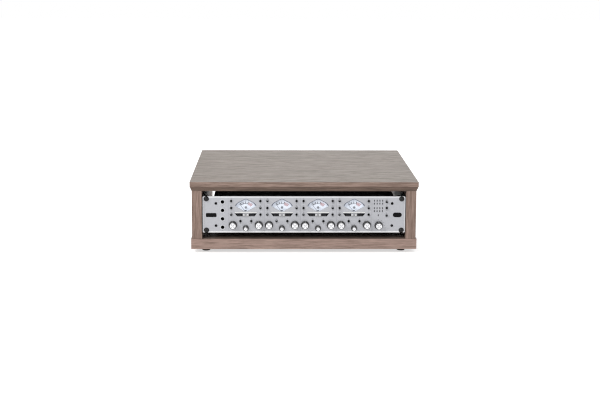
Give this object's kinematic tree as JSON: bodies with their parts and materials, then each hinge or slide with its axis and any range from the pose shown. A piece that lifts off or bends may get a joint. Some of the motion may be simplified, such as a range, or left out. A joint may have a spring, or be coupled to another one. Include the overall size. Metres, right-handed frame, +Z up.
{
  "type": "rack compressor in desktop case",
  "caption": "Two-unit rack compressor with needle meters, turned knobs and toggle switches, screwed into an open wooden desktop rack case on rubber feet.",
  "frame": {"origin": "middle of the object's footprint, on the plane that the feet stand on", "axes": "+X right along the front panel, +Z up, the front panel faces -Y"},
  "size_m": [0.5424, 0.4794, 0.1729],
  "materials": {
    "wood_laminate": "wood-grain laminate, satin",
    "beech": "plain beech",
    "rubber": "matte",
    "black_steel": "black powder coat",
    "brushed_panel": "brushed and clear anodised",
    "board_green": "solder mask",
    "winding_tape": "polyester winding tape",
    "black_plastic": "moulded, fine grain",
    "dial_card": "matte white, printed scale",
    "lens": "clear acrylic",
    "lamp_grey": "clear lamp lens, unlit",
    "black_plate": "gloss black",
    "zinc": "bright plated",
    "chrome": "polished",
    "needle_black": "matte",
    "knob_black": "moulded gloss, turned aluminium cap"
  },
  "bodies": {
    "unit": {"case_top_panel": "wood_laminate", "case_bottom_panel": "wood_laminate", "case_left_side": "wood_laminate", "case_right_side": "wood_laminate", "case_feet": "rubber", "case_dowels": "beech", "rack_rails": "black_steel", "rack_screws": "black_steel", "front_panel": "brushed_panel", "chassis_tray": "black_steel", "chassis_cover": "black_steel", "fixing_screws": "black_steel", "circuit_board": "board_green", "power_transformer": "winding_tape", "rear_connectors": "black_plastic", "meter_housings": "black_plastic", "meter_dials": "dial_card", "meter_lenses": "lens", "instrument_jacks": "black_plastic", "indicator_lamps": "lamp_grey", "label_plates": "black_plate", "potentiometers": "zinc", "toggle_switches": "zinc", "toggle_levers": "chrome"},
    "ch1_needle": {"ch1_needle": "needle_black"},
    "ch2_needle": {"ch2_needle": "needle_black"},
    "ch3_needle": {"ch3_needle": "needle_black"},
    "ch4_needle": {"ch4_needle": "needle_black"},
    "ch1_knob_left": {"ch1_knob_left": "knob_black"},
    "ch1_knob_centre": {"ch1_knob_centre": "knob_black"},
    "ch1_knob_right": {"ch1_knob_right": "knob_black"},
    "ch2_knob_left": {"ch2_knob_left": "knob_black"},
    "ch2_knob_centre": {"ch2_knob_centre": "knob_black"},
    "ch2_knob_right": {"ch2_knob_right": "knob_black"},
    "ch3_knob_left": {"ch3_knob_left": "knob_black"},
    "ch3_knob_centre": {"ch3_knob_centre": "knob_black"},
    "ch3_knob_right": {"ch3_knob_right": "knob_black"},
    "ch4_knob_left": {"ch4_knob_left": "knob_black"},
    "ch4_knob_centre": {"ch4_knob_centre": "knob_black"},
    "ch4_knob_right": {"ch4_knob_right": "knob_black"},
    "selector_knob": {"selector_knob": "knob_black"},
    "ch1_toggle_left_top": {"ch1_toggle_left_top": "chrome"},
    "ch1_toggle_left_middle": {"ch1_toggle_left_middle": "chrome"},
    "ch1_toggle_left_low": {"ch1_toggle_left_low": "chrome"},
    "ch1_toggle_centre_left": {"ch1_toggle_centre_left": "chrome"},
    "ch2_toggle_left_top": {"ch2_toggle_left_top": "chrome"},
    "ch2_toggle_left_middle": {"ch2_toggle_left_middle": "chrome"},
    "ch2_toggle_left_low": {"ch2_toggle_left_low": "chrome"},
    "ch2_toggle_centre_left": {"ch2_toggle_centre_left": "chrome"},
    "ch3_toggle_left_top": {"ch3_toggle_left_top": "chrome"},
    "ch3_toggle_left_middle": {"ch3_toggle_left_middle": "chrome"},
    "ch3_toggle_left_low": {"ch3_toggle_left_low": "chrome"},
    "ch3_toggle_centre_left": {"ch3_toggle_centre_left": "chrome"},
    "ch4_toggle_left_top": {"ch4_toggle_left_top": "chrome"},
    "ch4_toggle_left_middle": {"ch4_toggle_left_middle": "chrome"},
    "ch4_toggle_left_low": {"ch4_toggle_left_low": "chrome"},
    "ch4_toggle_centre_left": {"ch4_toggle_centre_left": "chrome"},
    "master_toggle_top": {"master_toggle_top": "chrome"},
    "master_toggle_middle": {"master_toggle_middle": "chrome"},
    "master_toggle_low": {"master_toggle_low": "chrome"}
  },
  "joints": [
    {"name": "ch1_needle_swing", "type": "hinge", "parent": "unit", "child": "ch1_needle", "pos_m": [-0.1388, -0.2203, 0.09745], "axis": [0, 1, 0], "range_deg": [0, 74], "stiffness_Nm_per_rad": 0.0002},
    {"name": "ch2_needle_swing", "type": "hinge", "parent": "unit", "child": "ch2_needle", "pos_m": [-0.0528, -0.2203, 0.09745], "axis": [0, 1, 0], "range_deg": [0, 74], "stiffness_Nm_per_rad": 0.0002},
    {"name": "ch3_needle_swing", "type": "hinge", "parent": "unit", "child": "ch3_needle", "pos_m": [0.0332, -0.2203, 0.09745], "axis": [0, 1, 0], "range_deg": [0, 74], "stiffness_Nm_per_rad": 0.0002},
    {"name": "ch4_needle_swing", "type": "hinge", "parent": "unit", "child": "ch4_needle", "pos_m": [0.1192, -0.2203, 0.09745], "axis": [0, 1, 0], "range_deg": [0, 74], "stiffness_Nm_per_rad": 0.0002},
    {"name": "ch1_knob_left_turn", "type": "hinge", "parent": "unit", "child": "ch1_knob_left", "pos_m": [-0.1696, -0.2258, 0.06735], "axis": [0, 1, 0], "range_deg": [-150, 150]},
    {"name": "ch1_knob_centre_turn", "type": "hinge", "parent": "unit", "child": "ch1_knob_centre", "pos_m": [-0.1388, -0.2258, 0.05975], "axis": [0, 1, 0], "range_deg": [-150, 150]},
    {"name": "ch1_knob_right_turn", "type": "hinge", "parent": "unit", "child": "ch1_knob_right", "pos_m": [-0.108, -0.2258, 0.06735], "axis": [0, 1, 0], "range_deg": [-150, 150]},
    {"name": "ch2_knob_left_turn", "type": "hinge", "parent": "unit", "child": "ch2_knob_left", "pos_m": [-0.0836, -0.2258, 0.06735], "axis": [0, 1, 0], "range_deg": [-150, 150]},
    {"name": "ch2_knob_centre_turn", "type": "hinge", "parent": "unit", "child": "ch2_knob_centre", "pos_m": [-0.0528, -0.2258, 0.05975], "axis": [0, 1, 0], "range_deg": [-150, 150]},
    {"name": "ch2_knob_right_turn", "type": "hinge", "parent": "unit", "child": "ch2_knob_right", "pos_m": [-0.022, -0.2258, 0.06735], "axis": [0, 1, 0], "range_deg": [-150, 150]},
    {"name": "ch3_knob_left_turn", "type": "hinge", "parent": "unit", "child": "ch3_knob_left", "pos_m": [0.0024, -0.2258, 0.06735], "axis": [0, 1, 0], "range_deg": [-150, 150]},
    {"name": "ch3_knob_centre_turn", "type": "hinge", "parent": "unit", "child": "ch3_knob_centre", "pos_m": [0.0332, -0.2258, 0.05975], "axis": [0, 1, 0], "range_deg": [-150, 150]},
    {"name": "ch3_knob_right_turn", "type": "hinge", "parent": "unit", "child": "ch3_knob_right", "pos_m": [0.064, -0.2258, 0.06735], "axis": [0, 1, 0], "range_deg": [-150, 150]},
    {"name": "ch4_knob_left_turn", "type": "hinge", "parent": "unit", "child": "ch4_knob_left", "pos_m": [0.0884, -0.2258, 0.06735], "axis": [0, 1, 0], "range_deg": [-150, 150]},
    {"name": "ch4_knob_centre_turn", "type": "hinge", "parent": "unit", "child": "ch4_knob_centre", "pos_m": [0.1192, -0.2258, 0.05975], "axis": [0, 1, 0], "range_deg": [-150, 150]},
    {"name": "ch4_knob_right_turn", "type": "hinge", "parent": "unit", "child": "ch4_knob_right", "pos_m": [0.15, -0.2258, 0.06735], "axis": [0, 1, 0], "range_deg": [-150, 150]},
    {"name": "selector_knob_turn", "type": "hinge", "parent": "unit", "child": "selector_knob", "pos_m": [0.1783, -0.2258, 0.06625], "axis": [0, 1, 0], "range_deg": [-60, 90]},
    {"name": "ch1_toggle_left_top_flip", "type": "hinge", "parent": "unit", "child": "ch1_toggle_left_top", "pos_m": [-0.1735, -0.2271, 0.12575], "axis": [1, 0, 0], "range_deg": [-46, 0]},
    {"name": "ch1_toggle_left_middle_flip", "type": "hinge", "parent": "unit", "child": "ch1_toggle_left_middle", "pos_m": [-0.1735, -0.2271, 0.10875], "axis": [1, 0, 0], "range_deg": [-46, 0]},
    {"name": "ch1_toggle_left_low_flip", "type": "hinge", "parent": "unit", "child": "ch1_toggle_left_low", "pos_m": [-0.1735, -0.2271, 0.09275], "axis": [1, 0, 0], "range_deg": [0, 46]},
    {"name": "ch1_toggle_centre_left_flip", "type": "hinge", "parent": "unit", "child": "ch1_toggle_centre_left", "pos_m": [-0.1516, -0.2271, 0.07695], "axis": [1, 0, 0], "range_deg": [-46, 0]},
    {"name": "ch2_toggle_left_top_flip", "type": "hinge", "parent": "unit", "child": "ch2_toggle_left_top", "pos_m": [-0.0875, -0.2271, 0.12575], "axis": [1, 0, 0], "range_deg": [0, 46]},
    {"name": "ch2_toggle_left_middle_flip", "type": "hinge", "parent": "unit", "child": "ch2_toggle_left_middle", "pos_m": [-0.0875, -0.2271, 0.10875], "axis": [1, 0, 0], "range_deg": [-46, 0]},
    {"name": "ch2_toggle_left_low_flip", "type": "hinge", "parent": "unit", "child": "ch2_toggle_left_low", "pos_m": [-0.0875, -0.2271, 0.09275], "axis": [1, 0, 0], "range_deg": [0, 46]},
    {"name": "ch2_toggle_centre_left_flip", "type": "hinge", "parent": "unit", "child": "ch2_toggle_centre_left", "pos_m": [-0.0656, -0.2271, 0.07695], "axis": [1, 0, 0], "range_deg": [0, 46]},
    {"name": "ch3_toggle_left_top_flip", "type": "hinge", "parent": "unit", "child": "ch3_toggle_left_top", "pos_m": [-0.0015, -0.2271, 0.12575], "axis": [1, 0, 0], "range_deg": [-46, 0]},
    {"name": "ch3_toggle_left_middle_flip", "type": "hinge", "parent": "unit", "child": "ch3_toggle_left_middle", "pos_m": [-0.0015, -0.2271, 0.10875], "axis": [1, 0, 0], "range_deg": [-46, 0]},
    {"name": "ch3_toggle_left_low_flip", "type": "hinge", "parent": "unit", "child": "ch3_toggle_left_low", "pos_m": [-0.0015, -0.2271, 0.09275], "axis": [1, 0, 0], "range_deg": [0, 46]},
    {"name": "ch3_toggle_centre_left_flip", "type": "hinge", "parent": "unit", "child": "ch3_toggle_centre_left", "pos_m": [0.0204, -0.2271, 0.07695], "axis": [1, 0, 0], "range_deg": [-46, 0]},
    {"name": "ch4_toggle_left_top_flip", "type": "hinge", "parent": "unit", "child": "ch4_toggle_left_top", "pos_m": [0.0845, -0.2271, 0.12575], "axis": [1, 0, 0], "range_deg": [0, 46]},
    {"name": "ch4_toggle_left_middle_flip", "type": "hinge", "parent": "unit", "child": "ch4_toggle_left_middle", "pos_m": [0.0845, -0.2271, 0.10875], "axis": [1, 0, 0], "range_deg": [-46, 0]},
    {"name": "ch4_toggle_left_low_flip", "type": "hinge", "parent": "unit", "child": "ch4_toggle_left_low", "pos_m": [0.0845, -0.2271, 0.09275], "axis": [1, 0, 0], "range_deg": [0, 46]},
    {"name": "ch4_toggle_centre_left_flip", "type": "hinge", "parent": "unit", "child": "ch4_toggle_centre_left", "pos_m": [0.1064, -0.2271, 0.07695], "axis": [1, 0, 0], "range_deg": [-46, 0]},
    {"name": "master_toggle_top_flip", "type": "hinge", "parent": "unit", "child": "master_toggle_top", "pos_m": [0.1969, -0.2271, 0.12375], "axis": [1, 0, 0], "range_deg": [0, 46]},
    {"name": "master_toggle_middle_flip", "type": "hinge", "parent": "unit", "child": "master_toggle_middle", "pos_m": [0.1969, -0.2271, 0.10905], "axis": [1, 0, 0], "range_deg": [-46, 0]},
    {"name": "master_toggle_low_flip", "type": "hinge", "parent": "unit", "child": "master_toggle_low", "pos_m": [0.1969, -0.2271, 0.09075], "axis": [1, 0, 0], "range_deg": [0, 46]}
  ]
}
